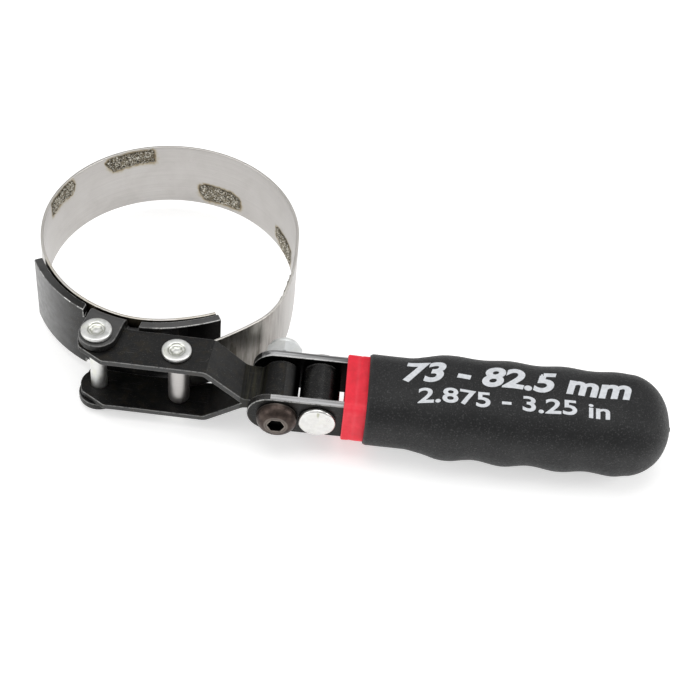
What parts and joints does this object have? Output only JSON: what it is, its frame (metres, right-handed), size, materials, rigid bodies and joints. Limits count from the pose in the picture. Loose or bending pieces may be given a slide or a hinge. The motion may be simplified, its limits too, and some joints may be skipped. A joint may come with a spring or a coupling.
{
  "type": "swivel-handle oil filter wrench",
  "caption": "Band wrench for oil filters: a spring-steel band with grit pads in a black steel bracket, drawn tight by a forked lever with a swivelling, vinyl-gripped handle.",
  "frame": {"origin": "centre of the overall box, at the height of its underside, which is the lower head of the pivot rivet", "axes": "+X along the handle away from the band, +Y away from the handle across the band, +Z along the band's axis, up"},
  "size_m": [0.2064, 0.1132, 0.031],
  "materials": {
    "spring_steel": "satin spring steel with heat tint near the pads",
    "black_steel": "black oxide, slightly worn at the edges",
    "zinc": "bright zinc plate",
    "screw_black": "satin black oxide",
    "grit": "coarse welded grit",
    "red_vinyl": "soft red vinyl",
    "black_vinyl": "fine-grained black vinyl",
    "nylon": "translucent white nylon"
  },
  "bodies": {
    "bracket": {"bracket": "black_steel", "band_anchor": "spring_steel", "pivot_rivet": "zinc", "grit_pad_6": "grit", "grit_pad_7": "grit", "grit_pad_8": "grit"},
    "band_1": {"band_leaf_1": "spring_steel", "grit_pad_1": "grit"},
    "band_2": {"band_leaf_2": "spring_steel", "grit_pad_2": "grit"},
    "band_3": {"band_leaf_3": "spring_steel", "grit_pad_3": "grit"},
    "band_4": {"band_leaf_4": "spring_steel", "grit_pad_4": "grit"},
    "band_5": {"band_leaf_5": "spring_steel", "grit_pad_5": "grit"},
    "band_end": {"band_tail": "spring_steel"},
    "lever": {"lever_yoke": "black_steel", "tension_rivet": "zinc"},
    "handle": {"handle_strap": "black_steel", "swivel_bushing": "black_steel", "swivel_screw": "screw_black", "lock_nut": "zinc", "lock_nut_insert": "nylon", "spacer_tube": "black_steel", "spacer_rivet": "zinc", "handle_sleeve": "red_vinyl", "handle_grip": "black_vinyl"}
  },
  "joints": [
    {"name": "lever_pivot", "type": "hinge", "parent": "bracket", "child": "lever", "pos_m": [-0.0766, -0.03637, 0.0155], "axis": [0, 0, 1], "range_deg": [-45, 0]},
    {"name": "band_flex_1", "type": "hinge", "parent": "bracket", "child": "band_1", "pos_m": [-0.10269, 0.01224, 0.0155], "axis": [0, 0, 1], "range_deg": [-5.27, 0]},
    {"name": "band_flex_2", "type": "hinge", "parent": "band_1", "child": "band_2", "pos_m": [-0.09251, 0.04181, 0.0155], "axis": [0, 0, 1], "range_deg": [-4.42, 0]},
    {"name": "band_flex_3", "type": "hinge", "parent": "band_2", "child": "band_3", "pos_m": [-0.065, 0.05598, 0.0155], "axis": [0, 0, 1], "range_deg": [-2.62, 0]},
    {"name": "band_flex_4", "type": "hinge", "parent": "band_3", "child": "band_4", "pos_m": [-0.03444, 0.04664, 0.0155], "axis": [0, 0, 1], "range_deg": [-1, 0]},
    {"name": "band_flex_5", "type": "hinge", "parent": "band_4", "child": "band_5", "pos_m": [-0.01948, 0.01879, 0.0155], "axis": [0, 0, 1], "range_deg": [-0.73, 0]},
    {"name": "tail_flex", "type": "hinge", "parent": "band_5", "child": "band_end", "pos_m": [-0.02475, -0.01862, 0.0155], "axis": [0, 0, 1], "range_deg": [0, 24]},
    {"name": "handle_swivel", "type": "hinge", "parent": "lever", "child": "handle", "pos_m": [-0.0192, -0.04007, 0.0155], "axis": [0, 1, 0], "range_deg": [-90, 90]}
  ],
  "couplings": [
    {"joint": "band_flex_1", "follows": "lever_pivot", "ratio": 0.115},
    {"joint": "band_flex_2", "follows": "lever_pivot", "ratio": 0.096},
    {"joint": "band_flex_3", "follows": "lever_pivot", "ratio": 0.056},
    {"joint": "band_flex_4", "follows": "lever_pivot", "ratio": 0.02},
    {"joint": "band_flex_5", "follows": "lever_pivot", "ratio": 0.014},
    {"joint": "tail_flex", "follows": "lever_pivot", "ratio": -0.531}
  ]
}
